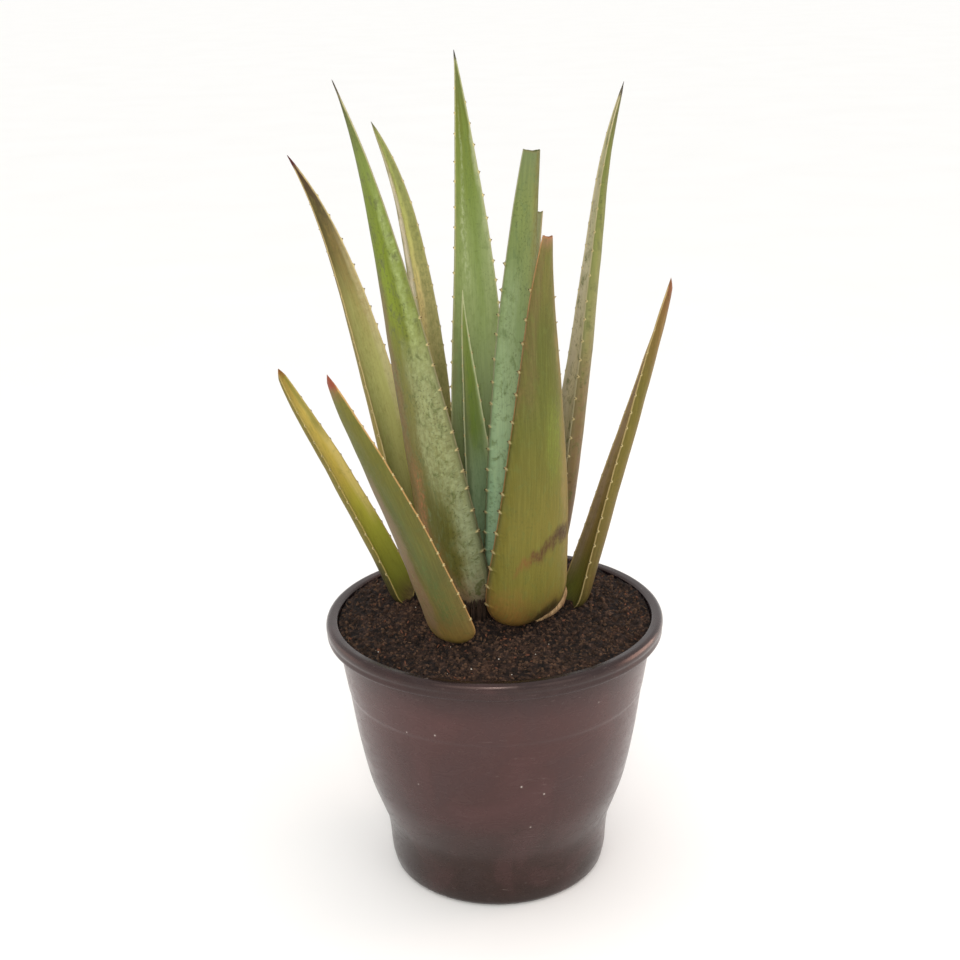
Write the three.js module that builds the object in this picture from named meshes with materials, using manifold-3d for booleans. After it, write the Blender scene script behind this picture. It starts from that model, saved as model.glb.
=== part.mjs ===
// A mature aloe in a round nursery pot: twelve leaves on a short crown, in potting soil.
// Millimetres, +Z up. The origin is the centre of the pot's underside. +X is to the right of
// the plant's front view and +Y points away from the viewer.

import * as THREE from "three";
import { mergeVertices } from "three/addons/utils/BufferGeometryUtils.js";
import Module from "manifold-3d";

const wasm = await Module();
wasm.setup();

// ---- Driving dimensions -------------------------------------------------------------------

const RIM_RADIUS = 149;
const POT_HEIGHT = 243.5;
const POT_WALL = 2.4;
const POT_FLOOR = 3;
const POT_SEGMENTS = 48;
const RIM_SKIRT_BOTTOM = 228.5;
const RIM_INNER_RADIUS = 138.6;
const DRAIN_HOLES = 8;
const DRAIN_HOLE_RADIUS = 6;
const DRAIN_CIRCLE_RADIUS = 66;
const DRAIN_HOLE_SEGMENTS = 16;
const FLOOR_FILLET = 2; // where the inside of the wall meets the floor

const SOIL_EDGE_HEIGHT = 239; // at the pot's wall, halfway between front and back
const SOIL_MOUND = 5.5; // how much higher the middle of the soil is than its edge
const SOIL_SLOPE = 0.02; // rise for each millimetre from front to back
const SOIL_HOLLOW = { x: 2, y: -48, depth: 3.5, radius: 30 }; // dug out in front of the crown
const SOIL_LUMP = 0.9;
const SOIL_WAVES = { long: 13, wide: 11, short: 7, slant: 9, shortShare: 0.6 };
const SOIL_RINGS = [0, 20, 40, 60, 80, 100, 120];

const CROWN = { x: -3, y: 40, radiusX: 46, radiusY: 44, top: 249.5, foot: 176 };
const CROWN_SEGMENTS = 28;
const CROWN_LUMP = 0.05; // share of the radius
const CROWN_RIBS = { coarse: 5, turn: 0.7, fine: 8, fineShare: 0.6 };
const CROWN_SHOULDER = 8; // depth below the crown's top where it is at its widest

const CLEARANCE = 0.3; // between the pot's wall and the soil
const POCKET_CLEARANCE = 0.5; // how far a pocket's sides stand off the leaf or crown in it
const LONGEST_MITRE = 3; // of a grown outline's sharp corners, in grow distances

const LEAF_STATIONS = 21;
const LEAF_WALK_STEPS = 240;
const BASE_ROUNDING = 0.45; // length of the round base end, in leaf widths
const BASE_BLUNTNESS = 0.03; // share of that rounding that is cut flat at the very end
const TIP_CURL_POWER = 6; // how close to the tip the curl sits
const BELLY_POWER = 2.3; // fullness of the round outer face
const INNER_POSITIONS = [0.6, 0, -0.6]; // section points across the channelled inner face
const OUTER_POSITIONS = [-0.95, -0.75, -0.4, 0, 0.4, 0.75, 0.95]; // across the round outer face
const LEAF_THICKNESS = 0.2; // in leaf widths
const SMALLEST_WIDTH = 1.6; // of a leaf, at its tip

// ---- Colours ------------------------------------------------------------------------------

const COLOURS = {
  plastic: 0x504242,
  soil: 0x2e231d,
  crown: 0x4a3427,
  oliveLeaf: 0x77763a,
  greenLeaf: 0x66803c,
  blueLeaf: 0x5f8266,
  yellowLeaf: 0x9c9440,
  brownLeaf: 0x7c6a44,
};

// ---- The leaves ---------------------------------------------------------------------------
// base: middle of the base end.  lean: angle from upright at the base and near the tip.
// curl: extra lean of the last stretch.  heading: compass direction of the lean, from +X towards
// +Y, at the base and at the tip.  twist: turn of the blade about its own spine, likewise.
// taper: [power, power] of the outline, a small second power gives a blunt tip.  channel: depth
// of the hollow inner face in leaf widths.  kept: the share of its length left on a cut leaf.
// All angles are in degrees.

const LEAVES = [
  {
    name: "leaf_left_low",
    base: [-74.5, 31, 241],
    length: 244,
    width: 32.5,
    lean: [22, 32.5],
    curl: -6,
    heading: [177, 177],
    twist: [23, 16.5],
    taper: [1.3, 0.38],
    channel: 0.23,
    colour: COLOURS.yellowLeaf,
  },
  {
    name: "leaf_front_low",
    base: [-32, -52, 240],
    length: 308,
    width: 48,
    lean: [24, 35],
    curl: -5,
    heading: [-125, -128],
    twist: [-2.5, 9.5],
    taper: [1.23, 0.51],
    channel: 0.1,
    colour: COLOURS.oliveLeaf,
  },
  {
    name: "leaf_left_mid",
    base: [-47, 24, 243],
    length: 418,
    width: 56,
    lean: [12.5, 18],
    curl: 23,
    heading: [165, 152],
    twist: [8, 32],
    taper: [1.22, 0.84],
    channel: 0.17,
    colour: COLOURS.brownLeaf,
  },
  {
    name: "leaf_front_tall",
    base: [-21, 14.5, 246],
    length: 484,
    width: 77,
    lean: [12.5, 15],
    curl: 13,
    heading: [-137.5, -134.5],
    twist: [2, -3.5],
    taper: [1.38, 1.13],
    channel: 0.18,
    colour: COLOURS.greenLeaf,
  },
  {
    name: "leaf_left_back",
    base: [-40, 76, 243],
    length: 427,
    width: 50,
    lean: [-1.5, 13],
    curl: 20.5,
    heading: [158, 154.5],
    twist: [-0.5, 7],
    taper: [1.27, 0.67],
    channel: 0.26,
    colour: COLOURS.oliveLeaf,
  },
  {
    name: "leaf_back_tallest",
    base: [-8, 58, 244],
    length: 485,
    width: 64.5,
    lean: [4.5, 21.5],
    curl: 1,
    heading: [86.5, 107],
    twist: [-1.5, -14],
    taper: [1.58, 0.94],
    channel: 0.12,
    colour: COLOURS.greenLeaf,
  },
  {
    name: "leaf_heart",
    base: [0, 30, 246],
    length: 277,
    width: 42.5,
    lean: [9, 7],
    curl: -6,
    heading: [122.5, 137.5],
    twist: [5, 5],
    taper: [1.21, 0.94],
    channel: 0.12,
    colour: COLOURS.blueLeaf,
  },
  {
    name: "leaf_centre_cut",
    base: [11, 14, 245],
    length: 407.5,
    width: 61.5,
    lean: [1.5, 8.5],
    curl: 4,
    heading: [-48, -51],
    twist: [-5, 7.5],
    taper: [1.27, 0.81],
    channel: 0.12,
    kept: 0.85,
    colour: COLOURS.blueLeaf,
  },
  {
    name: "leaf_back_cut",
    base: [30, 80, 244],
    length: 338,
    width: 26.5,
    lean: [1.5, 8],
    curl: 6,
    heading: [57.5, 56],
    twist: [1.5, 1.5],
    taper: [1.12, 1],
    channel: 0.11,
    kept: 0.8,
    colour: COLOURS.greenLeaf,
  },
  {
    name: "leaf_front_cut",
    base: [21, -14.5, 241],
    length: 352.5,
    width: 84,
    lean: [14.5, -3.5],
    curl: 21,
    heading: [-58, -62.5],
    twist: [-1.5, 0],
    taper: [1.29, 1.1],
    channel: 0.16,
    kept: 0.9,
    colour: COLOURS.oliveLeaf,
  },
  {
    name: "leaf_right_tall",
    base: [35.5, 40, 243],
    length: 459,
    width: 50.5,
    lean: [12.5, 2.5],
    curl: 19.5,
    heading: [12.5, 6.5],
    twist: [-4.5, 4],
    taper: [1.32, 0.65],
    channel: 0.22,
    colour: COLOURS.brownLeaf,
  },
  {
    name: "leaf_right_low",
    base: [65.5, 14, 240],
    length: 309.5,
    width: 38.5,
    lean: [16, 17],
    curl: 0,
    heading: [5, -5],
    twist: [-14, 10],
    taper: [1.33, 0.4],
    channel: 0.2,
    colour: COLOURS.oliveLeaf,
  },
];

// ---- Helpers ------------------------------------------------------------------------------

function welded(geometry) {
  geometry.deleteAttribute("normal");
  geometry.deleteAttribute("uv");
  return mergeVertices(geometry, 1e-4);
}

function toSolid(geometry) {
  const mesh = new wasm.Mesh({
    numProp: 3,
    vertProperties: new Float32Array(geometry.getAttribute("position").array),
    triVerts: new Uint32Array(geometry.getIndex().array),
  });
  return new wasm.Manifold(mesh);
}

function toGeometry(solid) {
  const mesh = solid.getMesh();
  const geometry = new THREE.BufferGeometry();
  geometry.setAttribute("position", new THREE.BufferAttribute(mesh.vertProperties, 3));
  geometry.setIndex(new THREE.BufferAttribute(mesh.triVerts, 1));
  return geometry;
}

function material(colour, roughness) {
  return new THREE.MeshStandardMaterial({ color: colour, roughness, metalness: 0 });
}

function named(name, geometry, meshMaterial) {
  const mesh = new THREE.Mesh(geometry, meshMaterial);
  mesh.name = name;
  return mesh;
}

// A lathe runs about +Y in three.js: this stands its axis up along +Z.
function turned(profile, segments) {
  const points = profile.map(([radius, height]) => new THREE.Vector2(radius, height));
  const geometry = new THREE.LatheGeometry(points, segments);
  geometry.rotateX(Math.PI / 2);
  return welded(geometry);
}

// ---- Pot ----------------------------------------------------------------------------------

// Outside of the wall from the floor up: a nearly straight foot, a waist, then the flared
// body, with a faint ledge where the upper collar begins.
const POT_WALL_OUTSIDE = [
  [92, 0],
  [96, 4],
  [98.5, 14],
  [100.3, 40],
  [102.4, 52],
  [109, 70],
  [116.1, 90],
  [121.5, 115],
  [126.3, 142],
  [131.2, 178],
  [132.2, 181],
  [138.6, 221],
  [141.2, 238],
];

// The hollow rim: down the inside of the skirt that hangs outside the wall, and back up over
// the top bead.
const RIM_OUTSIDE = [
  [145.3, 239.5],
  [146, RIM_SKIRT_BOTTOM],
  [148, RIM_SKIRT_BOTTOM],
  [148.6, 230.5],
  [148.2, 234],
  [RIM_RADIUS, 236.2],
  [RIM_RADIUS, 239],
  [147.8, 242],
  [145.4, POT_HEIGHT],
  [140, POT_HEIGHT - 0.6],
  [RIM_INNER_RADIUS, POT_HEIGHT - 2.2],
];

function potInsideRadius(height) {
  const upper = POT_WALL_OUTSIDE.findIndex(([, level]) => level >= height);
  const [lowRadius, lowHeight] = POT_WALL_OUTSIDE[upper - 1];
  const [highRadius, highHeight] = POT_WALL_OUTSIDE[upper];
  const share = (height - lowHeight) / (highHeight - lowHeight);
  return lowRadius + (highRadius - lowRadius) * share - POT_WALL;
}

// Heights where the wall's inside changes slope, from the rim down to the floor.
const INSIDE_HEIGHTS = [234, 221, 181, 142, 100, 70, 52, 40, POT_FLOOR + FLOOR_FILLET];

function drainHole(index) {
  const angle = (index / DRAIN_HOLES) * 2 * Math.PI + Math.PI / DRAIN_HOLES;
  const hole = new THREE.CylinderGeometry(
    DRAIN_HOLE_RADIUS,
    DRAIN_HOLE_RADIUS,
    4 * POT_FLOOR,
    DRAIN_HOLE_SEGMENTS,
  );
  hole.rotateX(Math.PI / 2);
  hole.translate(
    DRAIN_CIRCLE_RADIUS * Math.cos(angle),
    DRAIN_CIRCLE_RADIUS * Math.sin(angle),
    POT_FLOOR / 2,
  );
  return toSolid(welded(hole));
}

function pot() {
  const inside = INSIDE_HEIGHTS.map((height) => [potInsideRadius(height), height]);
  const profile = [
    [0, 0],
    ...POT_WALL_OUTSIDE,
    ...RIM_OUTSIDE,
    ...inside,
    [potInsideRadius(POT_FLOOR + FLOOR_FILLET) - FLOOR_FILLET, POT_FLOOR],
    [0, POT_FLOOR],
  ];
  let solid = toSolid(turned(profile, POT_SEGMENTS));
  for (let i = 0; i < DRAIN_HOLES; i += 1) {
    solid = solid.subtract(drainHole(i));
  }
  return toGeometry(solid);
}

// ---- Leaves -------------------------------------------------------------------------------

// Spine point and blade directions at each station, found by walking up the leaf.
function leafStations(leaf) {
  const degrees = THREE.MathUtils.degToRad;
  const direction = (t) => {
    const lean = degrees(
      THREE.MathUtils.lerp(...leaf.lean, t) + leaf.curl * t ** TIP_CURL_POWER,
    );
    const heading = degrees(THREE.MathUtils.lerp(...leaf.heading, t));
    const along = new THREE.Vector3(
      Math.sin(lean) * Math.cos(heading),
      Math.sin(lean) * Math.sin(heading),
      Math.cos(lean),
    );
    const inward = new THREE.Vector3(
      -Math.cos(lean) * Math.cos(heading),
      -Math.cos(lean) * Math.sin(heading),
      Math.sin(lean),
    );
    return { along, inward };
  };
  const spine = [new THREE.Vector3(...leaf.base)];
  for (let i = 0; i < LEAF_WALK_STEPS; i += 1) {
    const { along } = direction((i + 0.5) / LEAF_WALK_STEPS);
    spine.push(spine[i].clone().addScaledVector(along, leaf.length / LEAF_WALK_STEPS));
  }
  const stations = [];
  for (let i = 0; i < LEAF_STATIONS; i += 1) {
    const even = (1 - Math.cos((Math.PI * i) / (LEAF_STATIONS - 1))) / 2;
    const step = Math.round(even * LEAF_WALK_STEPS);
    const t = step / LEAF_WALK_STEPS;
    const { along, inward } = direction(t);
    const twist = degrees(THREE.MathUtils.lerp(...leaf.twist, t));
    const across = new THREE.Vector3().crossVectors(along, inward);
    stations.push({
      middle: spine[step],
      across: across.clone().multiplyScalar(Math.cos(twist)).addScaledVector(inward, Math.sin(twist)),
      inward: inward.clone().multiplyScalar(Math.cos(twist)).addScaledVector(across, -Math.sin(twist)),
      along,
      roundLeft: roundLeft(leaf, t),
      width: leafWidth(leaf, t),
    });
  }
  return stations;
}

// How much of the round base end is still ahead: 1 at its start, 0 where the leaf is full.
function roundLeft(leaf, t) {
  const walked = (t * leaf.length) / (BASE_ROUNDING * leaf.width);
  return Math.max(1 - BASE_BLUNTNESS - walked, 0);
}

function leafWidth(leaf, t) {
  const [first, second] = leaf.taper;
  const taper = (1 - (t * (leaf.kept ?? 1)) ** first) ** second;
  const roundEnd = Math.sqrt(1 - roundLeft(leaf, t) ** 2);
  return Math.max(leaf.width * taper * roundEnd, SMALLEST_WIDTH);
}

// Outline of a section in leaf widths, from one margin to the other over the inner face, which
// may be channelled or flat, and back over the outer face.
function leafSection(channel, channelled) {
  const across = channelled ? INNER_POSITIONS : [];
  const inner = across.map((a) => [a / 2, -channel * (1 - a * a)]);
  const outer = OUTER_POSITIONS.map((a) => {
    const fullness = (1 - Math.abs(a) ** BELLY_POWER) ** (1 / BELLY_POWER);
    return [a / 2, -(channel + LEAF_THICKNESS) * fullness];
  });
  return [[0.5, 0], ...inner, [-0.5, 0], ...outer];
}

// An anticlockwise outline with its sides moved outwards and its sharpest corners cut short.
function grownOutline(outline, distance) {
  const normals = outline.map(([x, y], i) => {
    const [nextX, nextY] = outline[(i + 1) % outline.length];
    return new THREE.Vector2(nextY - y, x - nextX).normalize();
  });
  return outline.map(([x, y], i) => {
    const before = normals.at(i - 1);
    const after = normals[i];
    const mitre = before.clone().add(after).divideScalar(1 + before.dot(after));
    mitre.multiplyScalar(distance).clampLength(0, LONGEST_MITRE * distance);
    return [x + mitre.x, y + mitre.y];
  });
}

// A closed surface along the leaf's spine, with its sections and its base end grown outwards.
function lofted(leaf, outline, grow) {
  const stations = leafStations(leaf);
  const ring = outline.length;
  const positions = [];
  for (const station of stations) {
    station.middle.addScaledVector(station.along, -grow * station.roundLeft);
    const sized = outline.map(([x, y]) => [x * station.width, y * station.width]);
    for (const [sideways, inwards] of grownOutline(sized, grow)) {
      const point = station.middle
        .clone()
        .addScaledVector(station.across, sideways)
        .addScaledVector(station.inward, inwards);
      positions.push(...point.toArray());
    }
  }
  const triangles = [];
  for (let i = 0; i < stations.length - 1; i += 1) {
    for (let j = 0; j < ring; j += 1) {
      const here = i * ring + j;
      const beside = i * ring + ((j + 1) % ring);
      triangles.push(here, beside + ring, beside);
      triangles.push(here, here + ring, beside + ring);
    }
  }
  const endCap = THREE.ShapeUtils.triangulateShape(
    outline.map(([x, y]) => new THREE.Vector2(x, y)),
    [],
  );
  const last = (stations.length - 1) * ring;
  for (const [a, b, c] of endCap) {
    triangles.push(a, b, c);
    triangles.push(last + a, last + c, last + b);
  }
  const geometry = new THREE.BufferGeometry();
  geometry.setAttribute("position", new THREE.Float32BufferAttribute(positions, 3));
  geometry.setIndex(triangles);
  return facingOut(geometry);
}

function leafGeometry(leaf) {
  return lofted(leaf, leafSection(leaf.channel, true), 0);
}

// The hole that the leaf's base sits in: its round outer shape, filled across the channel.
function pocketGeometry(leaf) {
  return lofted(leaf, leafSection(leaf.channel, false), POCKET_CLEARANCE);
}

// Turns the triangles round if the closed surface encloses a negative volume.
function facingOut(geometry) {
  const position = geometry.getAttribute("position");
  const index = geometry.getIndex();
  const [a, b, c] = [new THREE.Vector3(), new THREE.Vector3(), new THREE.Vector3()];
  let volume = 0;
  for (let i = 0; i < index.count; i += 3) {
    a.fromBufferAttribute(position, index.getX(i));
    b.fromBufferAttribute(position, index.getX(i + 1));
    c.fromBufferAttribute(position, index.getX(i + 2));
    volume += a.dot(b.cross(c)) / 6;
  }
  if (volume < 0) {
    index.array.reverse();
  }
  return geometry;
}

// ---- Crown --------------------------------------------------------------------------------

// The short, thick stem that the leaves clasp: a rootstock in the soil that widens to a flat,
// ragged top. With a grow distance it is the shape of the pocket that it fills in the soil.
function crownGeometry(grow = 0) {
  const height = CROWN.top - CROWN.foot;
  const shape = [
    [0, 0],
    [0.3, 0.03],
    [0.42, 0.3],
    [0.66, 0.62],
    [0.95, 0.84],
    [1, 0.93],
    [0.93, 0.975],
    [0.55, 1],
    [0, 1],
  ];
  const profile = shape.map(([radius, share]) => [radius, CROWN.foot + share * height]);
  const geometry = turned(profile, CROWN_SEGMENTS);
  const position = geometry.getAttribute("position");
  for (let i = 0; i < position.count; i += 1) {
    const x = position.getX(i);
    const y = position.getY(i);
    const angle = Math.atan2(y, x);
    const { coarse, turn, fine, fineShare } = CROWN_RIBS;
    const ribs = Math.sin(coarse * angle + turn) + fineShare * Math.sin(fine * angle);
    const swell = 1 + CROWN_LUMP * ribs;
    const share = (position.getZ(i) - CROWN.foot) / height;
    position.setXYZ(
      i,
      CROWN.x + (CROWN.radiusX * swell + grow) * x,
      CROWN.y + (CROWN.radiusY * swell + grow) * y,
      position.getZ(i) + grow * (2 * share - 1),
    );
  }
  return geometry;
}

// ---- Soil ---------------------------------------------------------------------------------

// Height of the soil's surface. Under the crown's shoulders it stays inside the crown.
function soilHeight(x, y) {
  const share = Math.hypot(x, y) / RIM_INNER_RADIUS;
  const mound = SOIL_MOUND * (1 - share * share);
  const away = Math.hypot(x - SOIL_HOLLOW.x, y - SOIL_HOLLOW.y) / SOIL_HOLLOW.radius;
  const hollow = SOIL_HOLLOW.depth * Math.exp(-away * away);
  const { long, wide, short, slant, shortShare } = SOIL_WAVES;
  const slow = Math.sin(x / long + 1) * Math.cos(y / wide);
  const lumps = slow + shortShare * Math.sin(x / short - y / slant);
  const open = SOIL_EDGE_HEIGHT + mound + SOIL_SLOPE * y - hollow + SOIL_LUMP * lumps;
  const inCrown = Math.hypot((x - CROWN.x) / CROWN.radiusX, (y - CROWN.y) / CROWN.radiusY) < 1;
  return inCrown ? Math.min(open, CROWN.top - CROWN_SHOULDER) : open;
}

function soilGeometry() {
  const wall = [...INSIDE_HEIGHTS]
    .reverse()
    .map((height) => [potInsideRadius(height) - CLEARANCE, height]);
  const bottom = POT_FLOOR + CLEARANCE;
  const edge = potInsideRadius(INSIDE_HEIGHTS[0]) - CLEARANCE;
  const surface = [edge, ...[...SOIL_RINGS].reverse()].map((radius) => [radius, POT_HEIGHT]);
  const profile = [[0, bottom], [wall[0][0] - FLOOR_FILLET, bottom], ...wall, ...surface];
  const geometry = turned(profile, POT_SEGMENTS);
  const position = geometry.getAttribute("position");
  for (let i = 0; i < position.count; i += 1) {
    if (position.getZ(i) > INSIDE_HEIGHTS[0]) {
      position.setZ(i, soilHeight(position.getX(i), position.getY(i)));
    }
  }
  return geometry;
}

// ---- Assembly -----------------------------------------------------------------------------

const plant = new THREE.Group();
plant.add(named("pot", pot(), material(COLOURS.plastic, 0.45)));

let crown = toSolid(crownGeometry());
let soil = toSolid(soilGeometry()).subtract(toSolid(crownGeometry(POCKET_CLEARANCE)));
for (const leaf of LEAVES) {
  const pocket = toSolid(pocketGeometry(leaf));
  crown = crown.subtract(pocket);
  soil = soil.subtract(pocket);
  plant.add(named(leaf.name, leafGeometry(leaf), material(leaf.colour, 0.55)));
}
plant.add(named("crown", toGeometry(crown), material(COLOURS.crown, 0.9)));
plant.add(named("soil", toGeometry(soil), material(COLOURS.soil, 1)));

export default plant;
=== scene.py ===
"""A mature aloe in a round nursery pot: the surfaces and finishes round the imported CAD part.

Metres, +Z up, in the part's own frame. Every leaf, the pot, the soil and the crown are measured
on their CAD nodes and rebuilt as fine meshes with procedural materials.
"""

import math
from collections import namedtuple
from functools import partial
from types import SimpleNamespace

import bmesh
import bpy
import numpy as np
from mathutils import Matrix, Vector, noise
from mathutils.bvhtree import BVHTree
from numpy.polynomial.polynomial import polyder, polyfit, polyval


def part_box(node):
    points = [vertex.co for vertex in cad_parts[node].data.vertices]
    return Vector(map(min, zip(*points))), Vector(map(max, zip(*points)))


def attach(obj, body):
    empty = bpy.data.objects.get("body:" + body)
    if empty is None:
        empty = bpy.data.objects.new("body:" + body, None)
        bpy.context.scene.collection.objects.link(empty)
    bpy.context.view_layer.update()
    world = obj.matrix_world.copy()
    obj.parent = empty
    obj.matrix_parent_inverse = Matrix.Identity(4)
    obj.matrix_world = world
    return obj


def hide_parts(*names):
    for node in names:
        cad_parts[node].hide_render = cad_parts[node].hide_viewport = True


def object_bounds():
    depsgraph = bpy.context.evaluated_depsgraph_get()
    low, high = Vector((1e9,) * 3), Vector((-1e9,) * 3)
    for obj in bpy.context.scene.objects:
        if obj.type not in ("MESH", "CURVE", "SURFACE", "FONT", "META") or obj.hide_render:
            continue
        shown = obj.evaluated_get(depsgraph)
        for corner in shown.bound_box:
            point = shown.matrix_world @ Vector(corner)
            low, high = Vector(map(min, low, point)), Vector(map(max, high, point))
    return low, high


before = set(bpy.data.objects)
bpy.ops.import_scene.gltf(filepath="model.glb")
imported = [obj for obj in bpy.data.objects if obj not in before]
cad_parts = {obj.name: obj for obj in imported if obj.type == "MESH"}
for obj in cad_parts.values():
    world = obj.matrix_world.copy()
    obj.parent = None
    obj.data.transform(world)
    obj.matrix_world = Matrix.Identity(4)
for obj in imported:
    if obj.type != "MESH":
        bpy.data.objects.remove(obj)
CAD_LOW, CAD_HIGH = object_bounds()

MM = 0.001
BODY = "root"
SEED = 7

# ---- Camera and stage ----

CAMERA_PLACE = (-0.0101, -1.2847, 0.8126)
CAMERA_PITCH = math.radians(19.17)  # below the horizon
CAMERA_ROLL = math.radians(1.249)
CAMERA_LENS = 59.1  # millimetres, on a sensor 36 mm wide
FLOOR_SIZE = 60.0
FLOOR_COLOUR = "fbfaf8"
WORLD_STRENGTH = 0.98

# ---- Leaves: how they are measured and meshed ----

SLICES = 60
SPINE_POINTS = 400
SPINE_DEGREE = 7
TURN_DEGREE = 4
INNER_COLUMNS = 13
OUTER_COLUMNS = 19
RING_STEP = 4 * MM
CLOSEST_RINGS = 0.25 * MM
BELLY_POWER = 2.3  # fullness of the round outer face
TOOTH_HALF_BASE = 2.3 * MM
TOOTH_SPREAD = 0.8 * MM  # how far from the margin the surface rises into a tooth
TOOTH_RINGS = (-1.0, -0.45, -0.15, 0.0, 0.35, 1.0)  # in half bases
TOOTH_LEAN = 0.45  # towards the tip
MARGIN_SHIFT = 7 * MM  # between the first teeth of the two margins
TIP_TAPER = 7 * MM
TIP_WIDTH = 0.3 * MM
CUT_DRYING = 9 * MM
WAVE_HEIGHT = 0.9 * MM
DENT_HEIGHT = 0.35 * MM

# ---- Pot and soil ----

POT_SEGMENTS = 240
POT_ROUNDING = 12 * MM
POT_RING_STEP = 6 * MM
POT_SHARP_ANGLE = math.radians(40)
POT_HOLES = 8
HOLES_WITHIN = (30 * MM, 85 * MM)  # distances from the axis
CRUMBS = 5200
SCATTER_REACH = 0.985  # of the soil's radius
CHUNK = 2000  # places worked on at a time
SOIL_RINGS = 90
SOIL_SEGMENTS = 300
SOIL_BLEND = 7 * MM  # reach of the smoothing of its top
POCKET_DEPTH = 14 * MM  # the fill's top lies above this, and the leaves' pockets below
CROWN_COLUMNS = 220
CROWN_RINGS = 30
CROWN_RAG = 2.4 * MM
FIBRES = 130
FIBRE_HEIGHT = 22 * MM
SHEATH_TOP = 34 * MM
SHEATH_GAP = 2.2 * MM
SHEATH_WIDTH = 7 * MM

# ---- Looks of the leaves ----
# inner, outer: colours of the two faces by place along the leaf, from base end (0) to tip (1).
# marks: patches of another colour on one face or both. Each has its span along the leaf and
# across it (-1 and +1 are the margins), and may be broken up by noise (grain) or slanted (tilt).
# mottle: colour and strength of the blotches. tip: colour of a dry tip and where it starts.
# tooth: height, spacing near the base and near the tip in millimetres, and the span with teeth.

Look = namedtuple("Look", "inner outer marks slot margin mottle tooth tip cut", defaults=[None, None])
MARK_PARTS = "face colour along across strength grain tilt soft"
Mark = namedtuple("Mark", MARK_PARTS, defaults=[(-2, 2), 1, 0, 0, 0.06])
outer, inner, both = (partial(Mark, face) for face in ("outer", "inner", "both"))

LOOKS = {}
LOOKS["leaf_left_low"] = Look(
    "0 6c5c34, 0.1 8e9038, 0.3 a4a43c, 0.42 b2aa42, 0.55 c4ae50, 0.8 cab25a, 1 a88c44",
    "0 3a321a, 0.3 504c26, 0.6 5a5028, 1 56482a",
    [
        both("7c6f2e", (0.2, 0.98), (-1.1, -0.55), 0.7),
        both("d8c47c", (0.35, 0.9), (0.55, 1.2), 0.6),
        both("7f7a30", (0.7, 1.1), (0.55, 1.3), 0.7),
        inner("6b3c22", (0.1, 0.5), (-0.7, -0.55), 0.4, 0.5),
    ],
    slot="leaf_yellow", margin="c0a860", mottle=("76762c", 0.25), tip=("8c5e30", 0.975),
    tooth=(1.3, 13, 17, (0.12, 0.9)),
)
LOOKS["leaf_front_low"] = Look(
    "0 6a5a38, 0.3 84764a, 0.7 88804c, 1 7c5a3c",
    "0 8c6c34, 0.05 7c6034, 0.12 6e5e34, 0.3 57532b, 0.5 4e4d23, 0.75 575820, 0.92 666227, 1 8a5a40",
    [
        outer("7a6250", (0.06, 0.66), (0.1, 1.3), 0.8, 0.4),
        outer("4a5c34", (0.08, 0.62), (-0.75, -0.25), 0.65, 0.7),
        outer("6b5038", (0.2, 0.34), (0.0, 0.7), 0.5, 0.9, 0.05),
        both("94803c", (-0.1, 0.045), (-2, 2), 0.7, 0.4),
        both("625c26", (0.35, 0.95), (-1.1, -0.4), 0.4),
    ],
    slot="leaf_olive", margin="cca264", mottle=("545a30", 0.4), tip=("80422e", 0.974),
    tooth=(1.9, 15, 18, (0.08, 0.93)),
)
LOOKS["leaf_left_mid"] = Look(
    "0 64542e, 0.15 857f46, 0.3 989558, 0.5 a6a564, 0.65 9a965a, 0.78 685e34, 0.88 4c4226, 0.96 442c22, "
    "1 3a1e1c",
    "0 5a4530, 0.3 7f6d3b, 0.6 74693c, 0.85 5c4c34, 1 4a2826",
    [
        both("c0b488", (0.35, 0.8), (0.6, 1.2), 0.55),
        both("8c7040", (0.6, 0.86), (-0.2, 1.1), 0.4, 0.6),
        both("887c44", (0.15, 0.7), (-1.1, -0.7), 0.45),
        inner("7c8444", (0.3, 0.7), (-0.6, 0.1), 0.35, 0.8),
    ],
    slot="leaf_brown", margin="c4b07c", mottle=("7a7038", 0.3), tip=("4c2322", 0.97),
    tooth=(2.1, 17, 21, (0.1, 0.93)),
)
LOOKS["leaf_front_tall"] = Look(
    "0 746c50, 0.3 8f9468, 0.6 98a068, 1 6c7448",
    "0 a8806a, 0.05 947458, 0.12 6c6438, 0.22 58521c, 0.35 66602e, 0.47 6c6a3c, 0.6 667024, 0.72 66741f, "
    "0.85 6c7a38, 0.93 5e6638, 1 443e2c",
    [
        outer("98a074", (0.25, 0.52), (-1.4, -0.35), 0.75, 0.5),
        outer("a0ac74", (0.5, 0.8), (-1.0, -0.65), 0.6, 0.5),
        # Pale strip on the lower margin: painted light, lightened against the shade in the recess there.
        outer("98a27c", (0.04, 0.27), (-1.4, -0.72), 0.8, 0.3),
        outer("8c9062", (0.3, 0.5), (-0.6, -0.1), 0.45, 0.9),
        outer("6e5636", (-0.1, 0.64), (0.22, 1.3), 0.9, 0.35),
        outer("4c4c14", (0.09, 0.24), (-0.62, 0.1), 0.9, 0.3),
        outer("94603f", (0.14, 0.32), (-0.02, 0.3), 0.9, 0.85, soft=0.03),
        outer("a05c3c", (-0.02, 0.13), (-0.35, 0.5), 0.95, 0.75),
        outer("666420", (0.4, 0.62), (-0.3, 0.15), 0.6, 0.5),
        outer("7e9028", (0.56, 0.72), (-0.35, 0.3), 0.55, 0.3),
        outer("7a6b48", (0.5, 0.66), (0.35, 1.1), 0.6, 0.6),
        both("a49880", (-0.1, 0.045), (-1.2, 0.3), 0.8, 0.4),
    ],
    slot="leaf_green", margin="b8b088", mottle=("5c6238", 0.85), tip=("3c3428", 0.985),
    tooth=(1.7, 17, 22, (0.12, 0.62)),
)
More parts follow.
